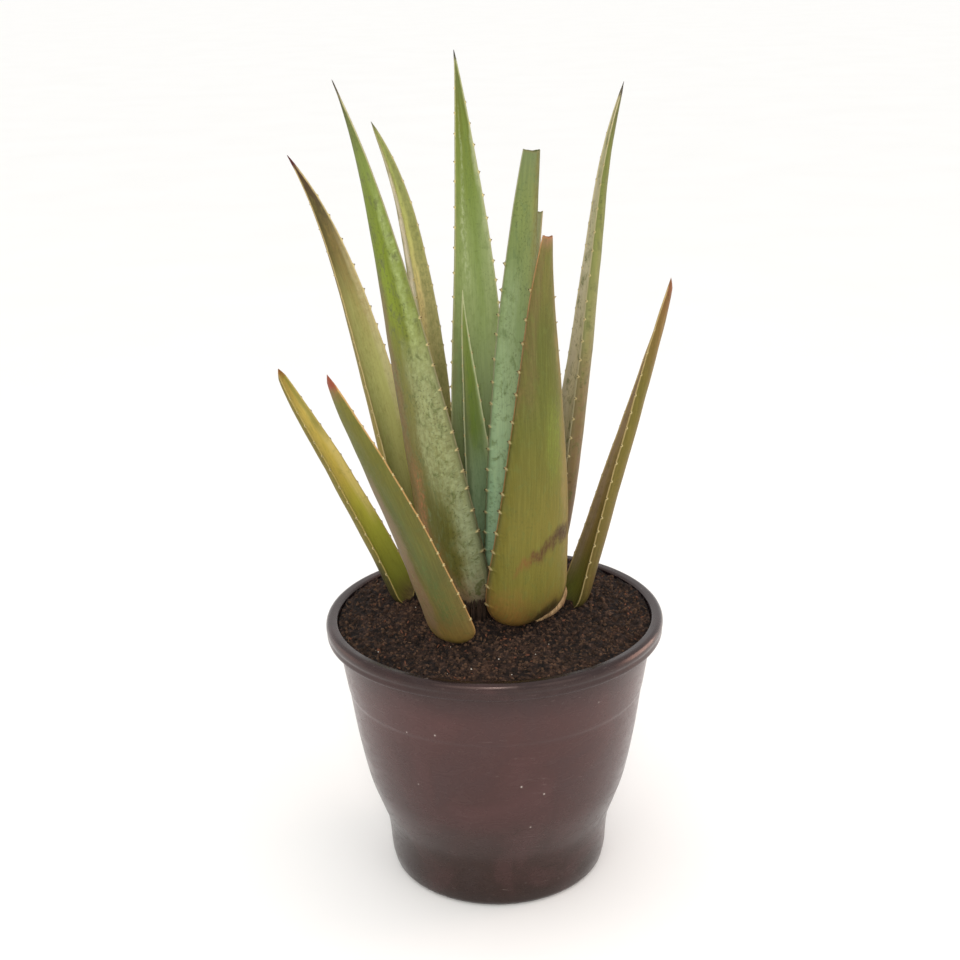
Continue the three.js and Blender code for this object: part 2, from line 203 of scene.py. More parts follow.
LOOKS["leaf_left_back"] = Look(
    "0 6a6440, 0.35 aa9a68, 0.5 c6b478, 0.62 ccbc7e, 0.75 b4b468, 0.88 98a058, 1 7c8448",
    "0 6a6440, 0.5 77723f, 0.75 726c38, 1 7a7c48",
    [
        inner("66602f", (0.3, 0.97), (-0.8, -0.3), 0.8, 0.4),
        both("d8cbb4", (0.5, 0.92), (-1.1, -0.86), 0.7),
        inner("76784a", (0.3, 0.95), (0.35, 1.2), 0.75, 0.3),
        inner("7a5a3c", (0.3, 0.62), (-0.35, 0.3), 0.5, 0.9),
    ],
    slot="leaf_olive", margin="a8a070", mottle=("6c6c38", 0.4), tip=("5c5c3c", 0.985),
    tooth=(1.3, 16, 20, (0.12, 0.93)),
)
LOOKS["leaf_back_tallest"] = Look(
    "0 606840, 0.2 687248, 0.35 728054, 0.5 808f58, 0.62 7e8e52, 0.75 6c7c38, 0.88 626c28, 0.96 5e6432, "
    "1 4e4a2c",
    "0 565c38, 0.5 7a8a50, 1 6c7440",
    [
        inner("6a7c38", (0.5, 0.95), (0.1, 0.5), 0.5, 0.3),
        inner("909c68", (0.3, 0.75), (-0.6, -0.1), 0.45, 0.5),
        inner("c0c8a4", (0.55, 0.9), (-0.42, -0.3), 0.5, 0.95, soft=0.03),
        both("b4b890", (0.6, 0.9), (0.8, 1.2), 0.6),
        both("7a6a4c", (0.1, 0.7), (-1.2, -0.9), 0.5, 0.4),
        inner("8a9464", (0.3, 0.7), (0.5, 1.1), 0.4, 0.3),
    ],
    slot="leaf_green", margin="a8a87c", mottle=("64743c", 0.4), tip=("3a3a36", 0.982),
    tooth=(1.8, 17, 22, (0.12, 0.93)),
)
LOOKS["leaf_heart"] = Look(
    # The pale blue-green base end of the inner face is partly the leaf's own tone and partly painted light,
    # lightened against the shade low between the leaves.
    "0 b4ccaa, 0.25 9cb48c, 0.42 8ca076, 0.55 6f8044, 0.7 6f7f3a, 0.85 748440, 1 869658",
    "0 4c5438, 0.5 525c38, 1 6c7844",
    [
        both("4c5a36", (0.1, 0.8), (-1.2, -0.6), 0.6),
        inner("6a8430", (0.5, 0.8), (-0.2, 0.35), 0.5, 0.3),
        inner("7c946c", (0.15, 0.45), (-0.3, 0.5), 0.5, 0.5),
        both("a4b080", (0.4, 0.95), (0.75, 1.2), 0.7),
    ],
    slot="leaf_blue", margin="c0c498", mottle=("566a48", 0.3), tip=("94a468", 0.99),
    tooth=(1.6, 13, 16, (0.1, 0.9)),
)
LOOKS["leaf_centre_cut"] = Look(
    "0 6c7c5a, 0.4 7c8e68, 1 7a8850",
    # The pale blue-green base end of the outer face is partly the leaf's own tone and partly painted light,
    # lightened against the shade low between the leaves.
    "0 a0b898, 0.15 88a888, 0.3 88a884, 0.45 8ea67e, 0.6 74885a, 0.75 6c7c4a, 0.9 6c7842, 1 66704a",
    [
        outer("585620", (0.36, 1.1), (-1.4, -0.3), 0.85, 0.4),
        outer("70743c", (0.45, 0.95), (-0.5, -0.1), 0.6, 0.5),
        outer("93a47c", (0.1, 0.75), (0.35, 1.0), 0.5, 0.4),
        outer("6c8058", (0.05, 0.4), (-0.7, 0.2), 0.4, 0.6),
        both("8c7450", (0.62, 0.98), (-1.5, -1.02), 0.5),
    ],
    slot="leaf_blue", margin="b4b48c", mottle=("5f7044", 0.7), cut="6c6a44", tooth=(2.7, 16, 22, (0.1, 0.8)),
)
LOOKS["leaf_back_cut"] = Look(
    "0 6a7048, 0.7 84885c, 1 8a8c64",
    "0 6a7048, 0.7 7c8050, 1 86845c",
    [
        both("a89070", (0.6, 1.1), (0.5, 1.2), 0.5),
    ],
    slot="leaf_green", margin="b8a880", mottle=("646c40", 0.4), cut="7c7450",
    tooth=(1.4, 16, 20, (0.1, 0.9)),
)
LOOKS["leaf_front_cut"] = Look(
    "0 6c6034, 0.5 847c48, 1 8c6c44",
    "0 80683a, 0.06 70602c, 0.15 6b6428, 0.3 6c6428, 0.45 605c24, 0.6 585a24, 0.75 545625, 0.9 605c2c, "
    "0.97 66602f, 1 86684a",
    [
        outer("6c7c2c", (0.42, 0.6), (-0.6, 0.0), 0.5, 0.5),
        outer("8c7648", (0.1, 0.9), (-1.3, -0.62), 0.7, 0.3),
        outer("6c5438", (0.6, 1.0), (0.5, 1.2), 0.4, 0.4),
        outer("7a4c2c", (0.228, 0.248), (0.1, 0.75), 0.75, 0.5, 0.058, 0.012),
        outer("4c3020", (0.226, 0.256), (-0.75, 0.3), 0.95, 0.45, 0.058, 0.012),
        outer("3c2618", (0.23, 0.262), (-0.7, -0.3), 0.9, 0.4, 0.058, 0.012),
        outer("8a6030", (-0.1, 0.12), (0.35, 1.3), 0.6, 0.6),
        outer("5a4424", (0.02, 0.08), (-0.7, 0.5), 0.6, 0.85),
        both("b0843c", (-0.1, 0.03), (0.35, 1.3), 0.85, 0.4),
        # Dark band round the base end: partly rot, partly painted shadow where the leaf's foot turns under.
        both("2c2012", (-0.2, 0.05), (-1.4, 0.05), 0.85, 0.0, 0.07, 0.02),
        both("a87450", (0.55, 1.1), (1.1, 1.5), 0.5),
    ],
    slot="leaf_olive", margin="c08c58", mottle=("5c6430", 0.35), cut="9a6a48",
    tooth=(3.0, 17, 24, (0.08, 0.9)),
)
LOOKS["leaf_right_tall"] = Look(
    "0 6e5e3c, 0.25 a08f6c, 0.45 b4a684, 0.65 b8b090, 0.85 9a9870, 1 6c6a44",
    "0 6c5a3c, 0.25 776840, 0.4 767044, 0.55 808050, 0.7 767a42, 0.85 666c34, 1 545432",
    [
        inner("a89c88", (0.3, 0.85), (-1.2, -0.7), 0.6, 0.3),
        outer("7c5c4a", (0.05, 0.5), (0.6, 1.3), 0.55, 0.5),
        outer("70803c", (0.45, 0.95), (-0.6, 0.2), 0.55, 0.6),
        outer("a09c74", (0.3, 0.6), (-0.9, -0.2), 0.5, 0.7),
    ],
    slot="leaf_brown", margin="c4b890", mottle=("5e6438", 0.75), tip=("3c382c", 0.985),
    tooth=(1.5, 16, 20, (0.12, 0.93)),
)
LOOKS["leaf_right_low"] = Look(
    "0 505024, 0.06 646428, 0.2 7c6838, 0.4 867044, 0.6 90784a, 0.8 7c6040, 1 6c442c",
    "0 4a4420, 0.1 5c4c24, 0.3 665828, 0.5 665a24, 0.7 625822, 0.9 70542c, 1 6c442c",
    [
        inner("6e6424", (0.02, 0.5), (-0.3, 0.5), 0.6, 0.3),
        inner("8a7666", (0.1, 0.8), (-1.2, -0.6), 0.6, 0.3),
        outer("8c7234", (0.1, 0.9), (0.35, 0.55), 0.5, 0.3),
    ],
    slot="leaf_olive", margin="c8b078", mottle=("5c5628", 0.35), tip=("744c30", 0.982),
    tooth=(1.0, 14, 18, (0.12, 0.9)),
)

# ---- Colours and materials ----


def srgb(text):
    """A hex colour as the linear values that a shader takes."""
    shares = [int(text[i : i + 2], 16) / 255 for i in (0, 2, 4)]
    linear = [c / 12.92 if c <= 0.04045 else ((c + 0.055) / 1.055) ** 2.4 for c in shares]
    return (*linear, 1.0)


class Graph:
    """One material's nodes: patterns over a place, and a colour that is built up in layers."""

    def __init__(self, name, place=None):
        self.material = bpy.data.materials.new(name)
        self.material.use_nodes = True
        self.nodes = self.material.node_tree.nodes
        self.links = self.material.node_tree.links
        self.shader = self.nodes["Principled BSDF"]
        if place:
            self.place = self.attribute(place)
        else:
            self.place = self.node("TexCoord", {}).outputs["Object"]
        self.colour = None

    def feed(self, socket, value):
        if isinstance(value, bpy.types.NodeSocket):
            self.links.new(value, socket)
        elif isinstance(value, str):
            socket.default_value = srgb(value)
        else:
            socket.default_value = value

    def node(self, kind, inputs, **settings):
        """A new node with its settings made and its inputs fed."""
        node = self.nodes.new("ShaderNode" + kind)
        for name, setting in settings.items():
            setattr(node, name, setting)
        for name, value in inputs.items():
            self.feed(node.inputs[name], value)
        return node

    def math(self, operation, first, second):
        return self.node("Math", {0: first, 1: second}, operation=operation).outputs[0]

    def times(self, *values):
        product = values[0]
        for value in values[1:]:
            product = self.math("MULTIPLY", product, value)
        return product

    def between(self, value, low, high, to_low=0.0, to_high=1.0):
        """A smooth step from to_low at low to to_high at high."""
        inputs = {"Value": value, "From Min": low, "From Max": high, "To Min": to_low, "To Max": to_high}
        return self.node("MapRange", inputs, interpolation_type="SMOOTHSTEP").outputs["Result"]

    def window(self, value, low, high, soft):
        rise = self.between(value, low - soft, low + soft)
        return self.times(rise, self.between(value, high - soft, high + soft, 1, 0))

    def mix(self, share, first, second):
        return self.node("Mix", {0: share, 6: first, 7: second}, data_type="RGBA").outputs[2]

    def cover(self, tone, share):
        """A layer of tone over the colour so far, as dense as share says."""
        self.colour = self.mix(share, self.colour, tone)

    def tint(self, tone, value, low, high, share=1.0):
        """A layer of tone that rises to a share as value goes from low to high."""
        self.cover(tone, self.between(value, low, high, 0.0, share))

    def ramp(self, value, text):
        """Colours by value, from text such as "0 6c5c34, 0.5 b2aa42, 1 a88c44"."""
        stops = [stop.split() for stop in text.split(", ")]
        node = self.node("ValToRGB", {0: value})
        elements = node.color_ramp.elements
        while len(elements) < len(stops):
            elements.new(1.0)
        for element, (place, colour) in zip(elements, stops):
            element.position = float(place)
            element.color = srgb(colour)
        return node.outputs["Color"]

    def stretched(self, factors):
        if factors is None:
            return self.place
        return self.node("VectorMath", {0: self.place, 1: factors}, operation="MULTIPLY").outputs[0]

    def noise(self, scale, detail=3.0, rough=0.55, warp=0.0, stretch=None):
        inputs = {"Scale": scale, "Detail": detail, "Roughness": rough, "Distortion": warp}
        return self.node("TexNoise", {"Vector": self.stretched(stretch), **inputs}).outputs["Fac"]

    def cells(self, scale, stretch=None):
        inputs = {"Vector": self.stretched(stretch), "Scale": scale}
        return self.node("TexVoronoi", inputs).outputs["Distance"]

    def spots(self, scale, size, where, stretch=None):
        """Round spots, one in each cell of a pattern, kept as far as where says."""
        return self.times(self.between(self.cells(scale, stretch), 0.0, size, 1, 0), where)

    def attribute(self, name):
        """The three values of a mesh attribute."""
        node = self.node("Attribute", {}, attribute_type="GEOMETRY", attribute_name=name)
        return node.outputs["Vector"]

    def split(self, vector):
        return self.node("SeparateXYZ", {0: vector}).outputs

    def finish(self, roughness, specular, *bumps):
        """The finished material, with bumps: pairs of a height and its depth in mm."""
        below = {}
        for height, depth in bumps:
            bump = self.node("Bump", {"Strength": 1.0, "Distance": depth * MM, "Height": height, **below})
            below = {"Normal": bump.outputs["Normal"]}
        finish = {"Base Color": self.colour, "Roughness": roughness, "Specular IOR Level": specular}
        for name, value in {**finish, **below}.items():
            self.feed(self.shader.inputs[name], value)
        return self.material


def leaf_material(name, look):
    graph = Graph(name + "_skin", "leaf_place")
    side = graph.split(graph.place)[2]
    share = graph.split(graph.attribute("leaf_share"))
    across, along, cut = share[0], share[1], share[2]
    rim = graph.split(graph.attribute("leaf_margin"))
    edge, tooth = rim[0], rim[1]  # distance from the margin, and rise into a tooth

    drift = graph.noise(60, 4, 0.6, 0.4, (1, 0.35, 1))
    fine = graph.noise(420, 5, 0.65, 0.3, (1, 0.5, 1))
    lines = graph.noise(900, 3, 0.6, 0.0, (1, 0.03, 1))
    centred = graph.math("SUBTRACT", drift, 0.5)
    along = graph.math("ADD", along, graph.times(centred, 0.12))
    wavy = graph.math("ADD", across, graph.times(centred, 0.8))

    on_outer = graph.between(side, 0.3, 0.7)
    graph.colour = graph.mix(on_outer, graph.ramp(along, look.inner), graph.ramp(along, look.outer))
    faces = {"outer": (on_outer,), "inner": (graph.between(side, 0.7, 0.3),), "both": ()}
    for patch in look.marks:
        slanted = graph.math("ADD", along, graph.times(across, patch.tilt)) if patch.tilt else along
        length_mask = graph.window(slanted, *patch.along, patch.soft)
        width_mask = graph.window(wavy, *patch.across, 0.16)
        mask = graph.times(length_mask, width_mask, patch.strength, *faces[patch.face])
        if patch.grain:
            mask = graph.times(mask, graph.between(fine, 0.4, 0.62, 1.0 - patch.grain, 1.0))
        graph.cover(patch.colour, mask)

    dark, amount = look.mottle
    blotch = graph.between(graph.noise(190, 6, 0.68, 0.5, (1, 0.45, 1)), 0.5, 0.66)
    graph.cover(dark, graph.times(blotch, amount))
    specks = graph.between(graph.noise(620, 3, 0.6, 0.2, (1, 0.6, 1)), 0.54, 0.64)
    specks = graph.times(specks, graph.between(drift, 0.4, 0.6), 0.55 * amount)
    graph.cover("343a20", specks)
    flecks = graph.spots(330, 0.22, graph.between(drift, 0.48, 0.62), (1, 0.4, 1))
    graph.cover("3c4024", graph.times(flecks, 0.55 * amount))
    graph.tint("b4b860", lines, 0.45, 0.65, 0.04)
    graph.tint("44461e", lines, 0.56, 0.4, 0.09)
    # Fine pale flecks: a painted highlight.
    graph.tint("98a050", fine, 0.55, 0.75, 0.08)

    # The thin pale line along each margin, and the teeth with their dark points.
    line = graph.times(graph.between(edge, 1.7 * MM, 0.6 * MM), graph.between(fine, 0.3, 0.6, 0.45, 0.9))
    graph.cover(look.margin, line)
    graph.tint("ccba84", tooth, 0.1, 0.4, 0.9)
    graph.tint("3c2418", tooth, 0.55, 0.75)
    if look.tip:
        tip_colour, start = look.tip
        graph.tint(tip_colour, along, start - 0.015, start + 0.01)
    else:
        dried = graph.times(graph.between(cut, 0.35, 0.8), graph.between(fine, 0.2, 0.5, 0.6, 1.0))
        graph.cover(look.cut, dried)
        graph.tint("4a3424", graph.times(cut, fine), 0.5, 0.62)

    soil_line = graph.times(graph.between(along, 0.045, -0.01), graph.between(fine, 0.35, 0.6), 0.55)
    graph.cover("3a2c1e", soil_line)
    roughness = graph.between(fine, 0.3, 0.7, 0.42, 0.6)
    return graph.finish(roughness, 0.16, (lines, 0.05), (fine, 0.16), (blotch, 0.05))


def plastic_material():
    graph = Graph("pot_plastic")
    patches = graph.noise(14, 4, 0.6, 0.8)
    smudges = graph.noise(45, 6, 0.7, 1.2, (1, 1, 2.2))
    grain = graph.noise(900, 3, 0.6)
    # Painted shade by height: the plastic's colour is darkened towards the floor and over the rim and its
    # skirt.
    painted_shade_by_height = "0 120b0a, 0.05 1c1110, 0.11 331f20, 0.2 3a2425, 0.226 22171b, 0.2435 120c10"
    graph.colour = graph.ramp(graph.split(graph.place)[2], painted_shade_by_height)
    graph.tint("4c3032", patches, 0.42, 0.7, 0.3)
    graph.tint("2a2429", patches, 0.5, 0.3, 0.25)
    graph.tint("5a4844", smudges, 0.52, 0.75, 0.1)
    graph.tint("6a5854", grain, 0.5, 0.8, 0.06)

    scratches = graph.between(graph.noise(70, 5, 0.75, 2.2, (0.6, 0.6, 6)), 0.64, 0.68)
    graph.cover("a39690", graph.times(scratches, 0.25))
    dust = graph.spots(62, 0.07, graph.between(graph.noise(21), 0.56, 0.62))
    graph.cover("d8cfc6", dust)
    dirty = graph.between(graph.noise(17, 2), 0.6, 0.66)
    graph.cover("2a2220", graph.spots(48, 0.06, dirty, (1, 1, 1.3)))

    graph.feed(graph.shader.inputs["Specular Tint"], "ffddd0")
    roughness = graph.between(smudges, 0.3, 0.75, 0.2, 0.34)
    return graph.finish(roughness, 0.5, (grain, 0.01), (patches, 0.2), (scratches, -0.02))


def soil_material(name, lighter=0.0):
    graph = Graph(name)
    lumps = graph.noise(190, 5, 0.7, 0.3)
    grains = graph.cells(480)
    fine = graph.noise(1500, 4, 0.7)
    # The colour follows the heights of the lumps and grains, darkest in their hollows and dents: partly the
    # soil's own tone, partly painted shade.
    graph.colour = graph.ramp(lumps, "0.3 0e0908, 0.44 1c1310, 0.53 33241d, 0.62 503b2f, 0.75 7a5d4a")
    graph.cover("15100d", graph.between(grains, 0.1, 0.55, 0.5, 0))
    graph.tint("6c5444", fine, 0.55, 0.75, 0.3)
    graph.tint("5a3c2c", graph.noise(18, 3, 0.6), 0.5, 0.7, 0.22)
    graph.tint("100a08", graph.noise(85, 2, 0.5, 0.5), 0.52, 0.4, 0.65)
    if lighter:
        graph.cover("8c6a50", lighter)
    bits = graph.spots(95, 0.1, graph.between(graph.noise(33), 0.6, 0.64), (1, 1, 2))
    graph.cover("b8a890", bits)
    return graph.finish(0.93, 0.25, (lumps, 2.5), (grains, 0.8), (fine, 0.4))


def bark_material(name, dark, light):
    """Dry plant matter: bark chips, fibres and the clasped stem."""
    graph = Graph(name)
    fibres = graph.noise(520, 5, 0.65, 0.5, (1, 1, 0.12))
    patches = graph.noise(90, 5, 0.65)
    graph.colour = graph.ramp(fibres, f"0.3 {dark}, 0.7 {light}")
    graph.tint(dark, patches, 0.45, 0.7, 0.7)
    return graph.finish(0.9, 0.25, (fibres, 0.7), (patches, 0.9))


def perlite_material():
    graph = Graph("soil_perlite")
    graph.colour = graph.mix(graph.noise(400), "f0ece2", "b8aa96")
    return graph.finish(0.85, 0.3, (graph.cells(1600), 0.3))


# ---- Meshes and measuring ----


def added(name, data):
    """A new object in the scene."""
    made = bpy.data.objects.new(name, data)
    bpy.context.scene.collection.objects.link(made)
    return made


def piece(name, points, faces, material):
    """A new smooth mesh object on the part's one body, with its faces turned outwards."""
    mesh = bpy.data.meshes.new(name)
    mesh.from_pydata(np.asarray(points).tolist(), [], faces)
    facing = bmesh.new()
    facing.from_mesh(mesh)
    bmesh.ops.recalc_face_normals(facing, faces=facing.faces)
    facing.to_mesh(mesh)
    facing.free()
    mesh.shade_smooth()
    mesh.materials.append(material)
    made = added(name, mesh)
    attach(made, BODY)
    return made


def tube(name, rings, material):
    """A piece made of rings of points, with quads between them and a face over each end."""
    rings = np.array(rings)
    return piece(name, rings.reshape(-1, 3), tube_faces(*rings.shape[:2]), material)


def triangles_of(node):
    """The CAD node's triangles, as points of shape (count, 3, 3)."""
    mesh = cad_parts[node].data
    mesh.calc_loop_triangles()
    points = np.array([vertex.co for vertex in mesh.vertices])
    corners = np.array([triangle.vertices for triangle in mesh.loop_triangles])
    return points[corners]


def cut_by_plane(triangles, point, normal):
    """The segments, of shape (count, 2, 3), where a plane cuts the triangles."""
    height = (triangles - point) @ normal
    found = []
    for i in range(3):
        one, two, lone = i, (i + 1) % 3, (i + 2) % 3
        split = (height[:, one] * height[:, lone] < 0) & (height[:, two] * height[:, lone] < 0)
        ends = []
        for other in (one, two):
            share = height[split, lone] / (height[split, lone] - height[split, other])
            step = triangles[split, other] - triangles[split, lone]
            ends.append(triangles[split, lone] + share[:, None] * step)
        found.append(np.stack(ends, 1))
    return np.concatenate(found)


def leaf_section(triangles, point, along):
    """Width, middle of the chord between the margins, and directions of one cut through a leaf."""
    outline = cut_by_plane(triangles, point, along).reshape(-1, 3)
    gaps = np.linalg.norm(outline[:, None] - outline, axis=2)
    first, second = np.unravel_index(gaps.argmax(), gaps.shape)
    width = gaps[first, second]
    middle = (outline[first] + outline[second]) / 2
    across = (outline[second] - outline[first]) / width
    inward = np.cross(across, along)
    depth = (outline - middle) @ inward
    if depth.mean() > 0:
        inward, depth = -inward, -depth
    across = np.cross(along, inward)
    central = np.abs((outline - middle) @ across) < 0.05 * width
    hollow = -depth[central].max() / width if central.any() else 0.0
    return width, middle, across, inward, hollow, -depth.min() / width


def unit(vectors):
    return vectors / np.linalg.norm(vectors, axis=-1, keepdims=True)


def smoothed(values):
    """The values with two light passes of smoothing, and with their ends kept."""
    for _ in range(2):
        values = values.copy()
        values[1:-1] = (values[:-2] + 2 * values[1:-1] + values[2:]) / 4
    return values


def measured_leaf(node):
    """The CAD leaf's spine, directions, widths and section, as functions of place along it."""
    triangles = triangles_of(node)
    corners = triangles.reshape(-1, 3)
    centre = corners.mean(0)
    axis = np.linalg.svd(corners - centre, full_matrices=False)[2][0]
    axis *= np.sign(axis[2])
    reach = (corners - centre) @ axis
    low, high = reach.min(), reach.max()
    places = (1 - np.cos(np.linspace(0.06, math.pi - 0.06, SLICES))) / 2
    cuts = [leaf_section(triangles, centre + axis * (low + (high - low) * p), axis) for p in places]
    for _ in range(2):
        spine = polyfit(places, np.array([c[1] for c in cuts]), SPINE_DEGREE)
        slope = polyder(spine)
        planes = zip(polyval(places, spine).T, unit(polyval(places, slope).T))
        cuts = [leaf_section(triangles, point, along) for point, along in planes]
    blade = slice(SLICES // 5, -SLICES // 5)
    return SimpleNamespace(
        places=places,
        dense=np.linspace(places[0], places[-1], SPINE_POINTS),
        spine=spine,
        slope=slope,
        turn=polyfit(places, np.array([c[2] for c in cuts]), TURN_DEGREE),
        widths=smoothed(np.array([c[0] for c in cuts])),
        hollow=float(np.median([c[4] for c in cuts[blade]])),
        full=float(np.median([c[5] for c in cuts[blade]])),
    )


def stations(leaf, places):
    """Middles, directions along, across and inwards, and widths at places on a measured leaf."""
    along = unit(polyval(places, leaf.slope).T)
    across = polyval(places, leaf.turn).T
    across = unit(across - (across * along).sum(-1, keepdims=True) * along)
    widths = np.interp(places, leaf.places, leaf.widths)
    return polyval(places, leaf.spine).T, along, across, np.cross(across, along), widths


def station_at(leaf, height):
    """The same where the leaf's spine is at a height."""
    rise = polyval(leaf.dense, leaf.spine)[2]
    return stations(leaf, leaf.dense[np.abs(rise - height).argmin()])


def outer_depth(leaf, a):
    """How far the round outer face stands from the chord at places across, in leaf widths."""
    return leaf.full * (1 - np.minimum(np.abs(a), 1.0) ** BELLY_POWER) ** (1 / BELLY_POWER)


# ---- Leaves ----


def tooth_places(look, length, shift, random):
    """Distances of the teeth on one margin from the leaf's base end."""
    _, near, far, (start, stop) = look.tooth
    place = start * length + shift
    found = []
    while place < stop * length:
        found.append(place)
        pitch = near + (far - near) * place / length
        place += pitch * MM * random.uniform(0.82, 1.2)
    return np.array(found)


def ring_distances(length, teeth):
    even = np.linspace(0, length, int(length / RING_STEP))
    around = [t + TOOTH_HALF_BASE * np.array(TOOTH_RINGS) for t in teeth]
    ends = np.array([0.3, 0.8, 1.6, 2.6]) * MM
    every = np.sort(np.concatenate([even, ends, length - ends, *around]))
    every = every[(every >= 0) & (every <= length)]
    kept = [every[0]]
    for distance in every[1:-1]:
        if distance - kept[-1] > CLOSEST_RINGS and length - distance > CLOSEST_RINGS:
            kept.append(distance)
    return np.array([*kept, length])


def tooth_profile(distances, teeth):
    """How far each ring stands up into a tooth, from 0 to 1."""
    offset = np.abs(distances[:, None] - teeth) / TOOTH_HALF_BASE
    return (np.clip(1 - offset, 0, 1) ** 1.5).max(1)


def section_columns(leaf):
    """Place across (-1 to 1), height, side (0 inner, 1 outer) and distance round the face from the
    nearest margin, for each column of a section, the lengths in leaf widths."""
    inside = np.cos(np.linspace(0, math.pi, INNER_COLUMNS))
    outside = -np.cos(np.linspace(0, math.pi, OUTER_COLUMNS))[1:-1]
    side = np.concatenate([np.zeros(INNER_COLUMNS), np.ones(OUTER_COLUMNS - 2)])
    side[[0, INNER_COLUMNS - 1]] = 0.5
    across = np.concatenate([inside, outside])
    height = np.concatenate([-leaf.hollow * (1 - inside**2), -outer_depth(leaf, outside)])
    outline = np.stack([across / 2, height], -1)
    steps = np.linalg.norm(np.diff(np.vstack([outline, outline[:1]]), axis=0), axis=1)
    round_it = np.concatenate([[0], np.cumsum(steps)])
    far_margin = round_it[INNER_COLUMNS - 1]
    gaps = [round_it[:-1], abs(round_it[:-1] - far_margin), round_it[-1] - round_it[:-1]]
    return across, height, side, np.min(gaps, axis=0)


def leaf_rings(node, look, number):
    """The leaf's surface as rings of points, with the nine values that its material reads."""
    leaf = measured_leaf(node)
    random = np.random.default_rng(SEED + number)
    line = polyval(leaf.dense, leaf.spine).T
    walked = np.concatenate([[0], np.cumsum(np.linalg.norm(np.diff(line, axis=0), axis=1))])
    length = walked[-1]
    teeth = [tooth_places(look, length, shift, random) for shift in (0, MARGIN_SHIFT)]
    distances = ring_distances(length, np.concatenate(teeth))
    places = np.interp(distances, walked, leaf.dense)
    middle, along, across, inward, widths = stations(leaf, places)
    if look.tip:
        left = np.clip((length - distances) / TIP_TAPER, 0, 1)
        widths = widths * np.sqrt(left) + TIP_WIDTH * (1 - left)

    sideways, height, side, from_margin = section_columns(leaf)
    offset = sideways[:, None] / 2 * across[:, None] + height[:, None] * inward[:, None]
    points = middle[:, None] + widths[:, None, None] * offset
    points += uneven(points, distances, sideways, widths, number)[..., None] * inward[:, None]

    edge = from_margin * widths[:, None]
    near_margin = np.exp(-((edge / TOOTH_SPREAD) ** 2))
    rise = np.zeros_like(edge)
    for sign, places_of_teeth in zip((1, -1), teeth):
        profile = tooth_profile(distances, places_of_teeth)[:, None]
        rise += profile * near_margin * (np.sign(sideways) == sign)
    tall = look.tooth[0] * MM * np.clip(widths / (20 * MM), 0.45, 1)[:, None]
    outwards = np.sign(sideways)[:, None] * across[:, None] + TOOTH_LEAN * along[:, None]
    points += (rise * tall)[..., None] * outwards

    cut = 0.0
    if not look.tip:
        cut = np.clip((distances - length + CUT_DRYING) / CUT_DRYING, 0, 1)[:, None] ** 2
        points -= (cut * cut_edge(sideways, side, number))[..., None] * along[:, None]
        cut = cut * 0.75
    steps = distances[:, None]
    values = [sideways, steps / length, cut, sideways * widths[:, None] / 2, steps, side, edge, rise, 0.0]
    values = [np.broadcast_to(value, edge.shape) for value in values]
    return points, np.stack(values, -1), along


def uneven(points, distances, sideways, widths, number):
    """A gentle wave along the blade and shallow dents in its faces."""
    lift = np.zeros(points.shape[:2])
    fullness = np.clip(widths / (25 * MM), 0, 1)
    for i, distance in enumerate(distances):
        wave = noise.noise(Vector((distance * 14, number * 5.1, 0.0)))
        for j, a in enumerate(sideways):
            dent = noise.noise(Vector((distance * 45, a * 1.7 + number, points[i, j, 1] * 30)))
            lift[i, j] = (wave * WAVE_HEIGHT + dent * DENT_HEIGHT) * fullness[i]
    return lift


def cut_edge(sideways, side, number):
    """How far a cut end falls short at each column: slanted, notched and torn."""
    slant = (0.9 - 0.6 * sideways) * MM
    notch = 0.5 * MM * np.exp(-(((sideways - 0.1) / 0.4) ** 2))
    torn = np.array([noise.noise(Vector((a * 3.3, s * 3, number))) for a, s in zip(sideways, side)])
    return slant + notch + torn * 0.5 * MM


def closed_end(points, direction, insets, depths):
    """Rings that close an end: the end ring shrunk by each inset and moved by each depth in mm."""
    centre = points.mean(0)
    pairs = zip(insets, depths)
    return [centre + (points - centre) * inset + direction * depth * MM for inset, depth in pairs]


def tube_faces(rings, columns):
    """Quads between the rings of a tube, and a face over each end."""
    faces = []
    for i in range(rings - 1):
        for j in range(columns):
            here, beside = i * columns + j, i * columns + (j + 1) % columns
            faces.append((here, beside, beside + columns, here + columns))
    faces.append(tuple(range(columns)))
    faces.append(tuple(range((rings - 1) * columns, rings * columns)))
    return faces


def add_leaf(node, look, number):
    points, values, along = leaf_rings(node, look, number)
    foot = closed_end(points[0], along[0], (0.2, 0.55, 0.85), (-0.9, -0.7, -0.35))
    end_values = values[-1].copy()
    if look.tip:
        top = closed_end(points[-1], along[-1], (0.6, 0.2), (0.2, 0.35))
    else:
        top = closed_end(points[-1], along[-1], (0.93, 0.8, 0.55, 0.25), (-0.1, -0.9, -1.7, -2.1))
        end_values[:, 2] = 1.0
    flat = np.stack([*[values[0]] * len(foot), *values, *[end_values] * len(top)]).reshape(-1, 9)
    made = tube(node + "_blade", [*foot, *points, *top], leaf_material(node, look))
    for i, name in enumerate(("leaf_share", "leaf_place", "leaf_margin")):
        attribute = made.data.attributes.new(name, "FLOAT_VECTOR", "POINT")
        attribute.data.foreach_set("vector", flat[:, 3 * i : 3 * i + 3].astype(np.float32).ravel())
    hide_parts(node)


# ---- Pot ----


